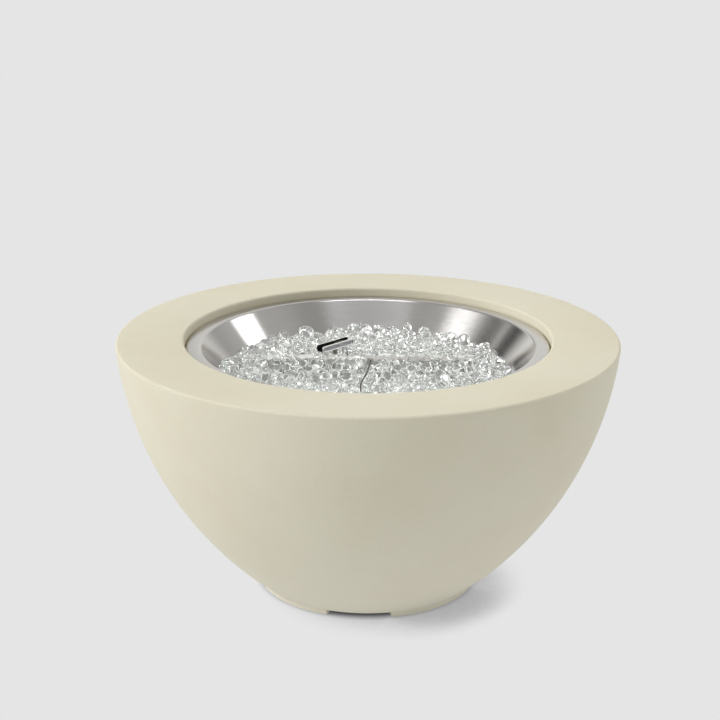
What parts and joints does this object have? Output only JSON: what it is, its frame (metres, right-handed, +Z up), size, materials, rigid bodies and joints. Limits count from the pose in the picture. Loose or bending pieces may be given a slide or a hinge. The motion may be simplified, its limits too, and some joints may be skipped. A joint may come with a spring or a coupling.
{
  "type": "gas fire pit bowl",
  "caption": "Round cast-concrete fire bowl on a notched foot ring, with a lift-out stainless burner pan, a bar burner under clear fire glass, a spark igniter and rear gas controls.",
  "frame": {"origin": "centre of the base, on the ground", "axes": "+Z up along the bowl's axis, -Y towards the front, the control panel on +Y"},
  "size_m": [0.7421, 0.7421, 0.381],
  "materials": {
    "cast_concrete": "cast, fine matt surface",
    "pan_steel": "brushed round the pan",
    "burner_steel": "satin",
    "cage_steel": "satin outside, sooty black inside",
    "fastener_steel": "plated",
    "brass_fitting": "machined",
    "white_ceramic": "fired, unglazed",
    "electrode_alloy": "heat darkened",
    "fire_glass": "clear, rounded by tumbling",
    "panel_steel": "brushed",
    "seal_rubber": "black",
    "dial_print": "satin black",
    "spring_steel": "bright drawn",
    "hose_steel": "braided sleeve",
    "knob_plastic": "moulded, fine matt",
    "pointer_white": "moulded",
    "igniter_plastic": "moulded",
    "battery_sleeve": "printed sleeve"
  },
  "bodies": {
    "bowl": {"bowl_shell": "cast_concrete", "bowl_rim": "cast_concrete", "bowl_floor": "cast_concrete", "bowl_feet": "cast_concrete", "control_panel": "panel_steel", "panel_gasket": "seal_rubber", "panel_inserts": "brass_fitting", "panel_screws": "fastener_steel", "dial_ring": "dial_print", "valve_body": "brass_fitting", "valve_nut": "brass_fitting", "valve_spring": "spring_steel", "spark_body": "igniter_plastic", "spark_nut": "igniter_plastic", "battery": "battery_sleeve", "button_spring": "spring_steel", "inlet_plate": "panel_steel", "plate_screws": "fastener_steel", "inlet_elbow": "brass_fitting", "inlet_locknut": "brass_fitting", "hose_nuts": "brass_fitting", "inlet_hose": "seal_rubber", "burner_hose": "hose_steel", "spark_lead": "seal_rubber", "spark_boot": "seal_rubber", "sensor_lead": "seal_rubber", "sensor_plug": "seal_rubber", "sensor_nut": "brass_fitting"},
    "burner": {"burner_pan": "pan_steel", "burner_bar": "burner_steel", "burner_caps": "burner_steel", "burner_legs": "burner_steel", "leg_fasteners": "fastener_steel", "inlet_nipple": "burner_steel", "pan_locknuts": "burner_steel", "air_mixer": "brass_fitting", "orifice_fitting": "brass_fitting", "igniter_cage": "cage_steel", "cage_fasteners": "fastener_steel", "electrode_insulator": "white_ceramic", "electrode_rod": "electrode_alloy", "flame_sensor": "electrode_alloy", "sensor_clip": "burner_steel", "sensor_grommet": "white_ceramic", "glass_bed": "fire_glass", "glass_gems": "fire_glass"},
    "valve_cup": {"valve_cup": "spring_steel"},
    "knob": {"valve_stem": "spring_steel", "knob": "knob_plastic", "knob_pointer": "pointer_white", "knob_set_screw": "fastener_steel"},
    "igniter_button": {"igniter_button": "knob_plastic"}
  },
  "joints": [
    {"name": "pan_lift", "type": "slide", "parent": "bowl", "child": "burner", "axis": [0, 0, 1], "range_m": [0, 0.175]},
    {"name": "knob_push", "type": "slide", "parent": "bowl", "child": "valve_cup", "axis": [0, -0.8941, 0.4479], "range_m": [0, 0.004], "stiffness_N_per_m": 900, "springref_m": -0.002, "deforming": ["valve_spring"]},
    {"name": "knob_turn", "type": "hinge", "parent": "valve_cup", "child": "knob", "pos_m": [0.024, 0.31671, 0.19], "axis": [0, 0.8941, -0.4479], "range_deg": [0, 210]},
    {"name": "button_press", "type": "slide", "parent": "bowl", "child": "igniter_button", "axis": [0, -0.8941, 0.4479], "range_m": [0, 0.0035], "stiffness_N_per_m": 600, "springref_m": -0.002, "deforming": ["button_spring"]}
  ]
}
